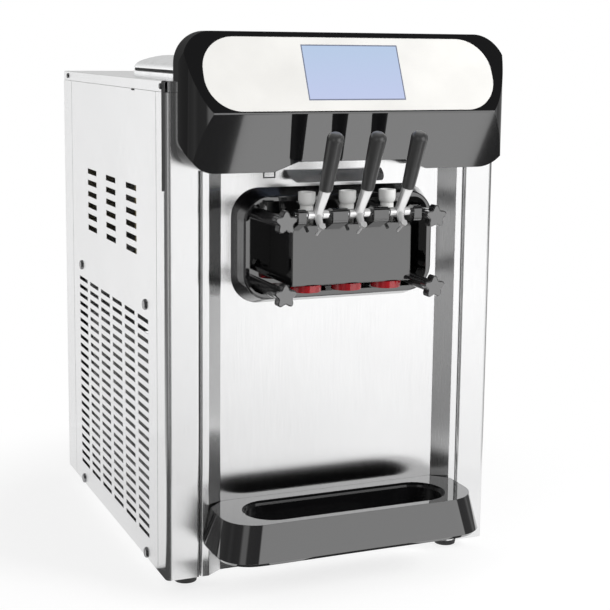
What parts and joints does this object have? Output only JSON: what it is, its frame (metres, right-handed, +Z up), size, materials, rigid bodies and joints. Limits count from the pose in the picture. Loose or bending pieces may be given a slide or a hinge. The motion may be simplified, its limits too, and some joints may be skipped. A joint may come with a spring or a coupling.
{
  "type": "ice cream maker",
  "caption": "Countertop soft-serve ice cream maker with draw handles, a touch screen head, lidded mix hoppers, helical beaters and a drip tray.",
  "frame": {"origin": "on the counter under the middle of the overall box, at the level of the feet's soles", "axes": "+X to the right as seen from the handle side, +Y to the back, +Z up"},
  "size_m": [0.5464, 0.7934, 0.835],
  "materials": {
    "brushed_steel": "vertically brushed stainless sheet",
    "pressed_steel": "satin pressed stainless steel",
    "painted_frame": "grey powder coat",
    "painted_machinery": "satin black paint",
    "black_gloss": "high gloss black moulding",
    "handle_black": "polished black moulding",
    "fascia_white": "smooth white",
    "screen_blue": "lit pale blue screen under glass",
    "circuit_board": "green solder mask",
    "valve_white": "food grade white",
    "nozzle_red": "deep red translucent look",
    "cast_aluminium": "bead blasted",
    "bright_steel": "turned bright steel",
    "rubber_black": "matt black rubber",
    "moulded_black": "fine texture",
    "foam_cream": "cut polyurethane foam",
    "tube_white": "food grade white"
  },
  "bodies": {
    "cabinet": {"base_pan": "brushed_steel", "rubber_feet": "rubber_black", "side_panel_left": "brushed_steel", "side_panel_right": "brushed_steel", "panel_screws": "bright_steel", "rear_panel": "brushed_steel", "cable_gland": "moulded_black", "top_cover": "brushed_steel", "front_column_left": "brushed_steel", "front_column_right": "brushed_steel", "front_panel": "brushed_steel", "chassis_frame": "painted_frame", "head_housing": "black_gloss", "control_panel": "fascia_white", "display_screen": "screen_blue", "control_board": "circuit_board", "head_back_plate": "brushed_steel", "door_surround": "black_gloss", "door_block": "black_gloss", "door_gaskets": "rubber_black", "door_studs": "bright_steel", "pivot_rod": "bright_steel", "nozzle_caps": "nozzle_red", "splash_visor": "brushed_steel", "insulation_block": "foam_cream", "compressor": "painted_machinery", "condenser": "cast_aluminium", "fan_shroud": "painted_frame", "drive_motor": "painted_machinery", "drive_belts": "rubber_black", "hopper_left": "pressed_steel", "hopper_right": "pressed_steel", "freezing_cylinder_left": "pressed_steel", "freezing_cylinder_right": "pressed_steel", "gearbox_left": "painted_machinery", "gearbox_right": "painted_machinery"},
    "fan": {"fan_blades": "moulded_black"},
    "motor_rotor": {"motor_pulley": "cast_aluminium"},
    "gear_input_left": {"gear_pulley_left": "cast_aluminium"},
    "gear_input_right": {"gear_pulley_right": "cast_aluminium"},
    "beater_shaft_left": {"beater_left": "pressed_steel"},
    "beater_shaft_right": {"beater_right": "pressed_steel"},
    "tray": {"drip_tray": "black_gloss"},
    "lid_left": {"hopper_lid_left": "pressed_steel"},
    "lid_right": {"hopper_lid_right": "pressed_steel"},
    "tube_left": {"feed_tube_left": "tube_white"},
    "tube_right": {"feed_tube_right": "tube_white"},
    "handle_left": {"lever_left": "cast_aluminium", "grip_left": "handle_black"},
    "valve_left": {"draw_valve_left": "valve_white"},
    "handle_middle": {"lever_middle": "cast_aluminium", "grip_middle": "handle_black"},
    "valve_middle": {"draw_valve_middle": "valve_white"},
    "handle_right": {"lever_right": "cast_aluminium", "grip_right": "handle_black"},
    "valve_right": {"draw_valve_right": "valve_white"},
    "knob_upper_left": {"star_knob_upper_left": "handle_black"},
    "knob_upper_right": {"star_knob_upper_right": "handle_black"},
    "knob_lower_left": {"star_knob_lower_left": "handle_black"},
    "knob_lower_right": {"star_knob_lower_right": "handle_black"}
  },
  "joints": [
    {"name": "handle_left_pull", "type": "hinge", "parent": "cabinet", "child": "handle_left", "pos_m": [-0.0655, -0.32427, 0.575], "axis": [1, 0, 0], "range_deg": [0, 36]},
    {"name": "valve_left_lift", "type": "slide", "parent": "cabinet", "child": "valve_left", "axis": [0, 0, 1], "range_m": [0, 0.0255]},
    {"name": "handle_middle_pull", "type": "hinge", "parent": "cabinet", "child": "handle_middle", "pos_m": [0, -0.32427, 0.575], "axis": [1, 0, 0], "range_deg": [0, 36]},
    {"name": "valve_middle_lift", "type": "slide", "parent": "cabinet", "child": "valve_middle", "axis": [0, 0, 1], "range_m": [0, 0.0255]},
    {"name": "handle_right_pull", "type": "hinge", "parent": "cabinet", "child": "handle_right", "pos_m": [0.0655, -0.32427, 0.575], "axis": [1, 0, 0], "range_deg": [0, 36]},
    {"name": "valve_right_lift", "type": "slide", "parent": "cabinet", "child": "valve_right", "axis": [0, 0, 1], "range_m": [0, 0.0255]},
    {"name": "knob_upper_left_turn", "type": "hinge", "parent": "cabinet", "child": "knob_upper_left", "pos_m": [-0.12, -0.34127, 0.5665], "axis": [0, 1, 0], "continuous": true},
    {"name": "knob_upper_right_turn", "type": "hinge", "parent": "cabinet", "child": "knob_upper_right", "pos_m": [0.12, -0.34127, 0.5665], "axis": [0, 1, 0], "continuous": true},
    {"name": "knob_lower_left_turn", "type": "hinge", "parent": "cabinet", "child": "knob_lower_left", "pos_m": [-0.12, -0.34127, 0.4605], "axis": [0, 1, 0], "continuous": true},
    {"name": "knob_lower_right_turn", "type": "hinge", "parent": "cabinet", "child": "knob_lower_right", "pos_m": [0.12, -0.34127, 0.4605], "axis": [0, 1, 0], "continuous": true},
    {"name": "motor_spin", "type": "hinge", "parent": "cabinet", "child": "motor_rotor", "pos_m": [0, 0.15273, 0.33], "axis": [0, 1, 0], "continuous": true},
    {"name": "gear_input_left_spin", "type": "hinge", "parent": "cabinet", "child": "gear_input_left", "pos_m": [-0.062, 0.15273, 0.516], "axis": [0, 1, 0], "continuous": true},
    {"name": "beater_left_spin", "type": "hinge", "parent": "cabinet", "child": "beater_shaft_left", "pos_m": [-0.062, -0.19727, 0.516], "axis": [0, 1, 0], "continuous": true},
    {"name": "gear_input_right_spin", "type": "hinge", "parent": "cabinet", "child": "gear_input_right", "pos_m": [0.062, 0.15273, 0.516], "axis": [0, 1, 0], "continuous": true},
    {"name": "beater_right_spin", "type": "hinge", "parent": "cabinet", "child": "beater_shaft_right", "pos_m": [0.062, -0.19727, 0.516], "axis": [0, 1, 0], "continuous": true},
    {"name": "fan_spin", "type": "hinge", "parent": "cabinet", "child": "fan", "pos_m": [-0.212, 0.05973, 0.152], "axis": [1, 0, 0], "continuous": true},
    {"name": "tray_lift", "type": "slide", "parent": "cabinet", "child": "tray", "axis": [0, 0, 1], "range_m": [0, 0.03]},
    {"name": "lid_left_lift", "type": "slide", "parent": "cabinet", "child": "lid_left", "axis": [0, 0, 1], "range_m": [0, 0.08]},
    {"name": "tube_left_lift", "type": "slide", "parent": "cabinet", "child": "tube_left", "axis": [0, 0, 1], "range_m": [0, 0.03]},
    {"name": "lid_right_lift", "type": "slide", "parent": "cabinet", "child": "lid_right", "axis": [0, 0, 1], "range_m": [0, 0.08]},
    {"name": "tube_right_lift", "type": "slide", "parent": "cabinet", "child": "tube_right", "axis": [0, 0, 1], "range_m": [0, 0.03]}
  ],
  "couplings": [
    {"joint": "valve_left_lift", "follows": "handle_left_pull", "m_per_rad": 0.040329},
    {"joint": "valve_middle_lift", "follows": "handle_middle_pull", "m_per_rad": 0.040329},
    {"joint": "valve_right_lift", "follows": "handle_right_pull", "m_per_rad": 0.040329},
    {"joint": "gear_input_left_spin", "follows": "motor_spin", "ratio": 0.6087},
    {"joint": "beater_left_spin", "follows": "motor_spin", "ratio": 0.12174},
    {"joint": "gear_input_right_spin", "follows": "motor_spin", "ratio": 0.6087},
    {"joint": "beater_right_spin", "follows": "motor_spin", "ratio": 0.12174}
  ]
}
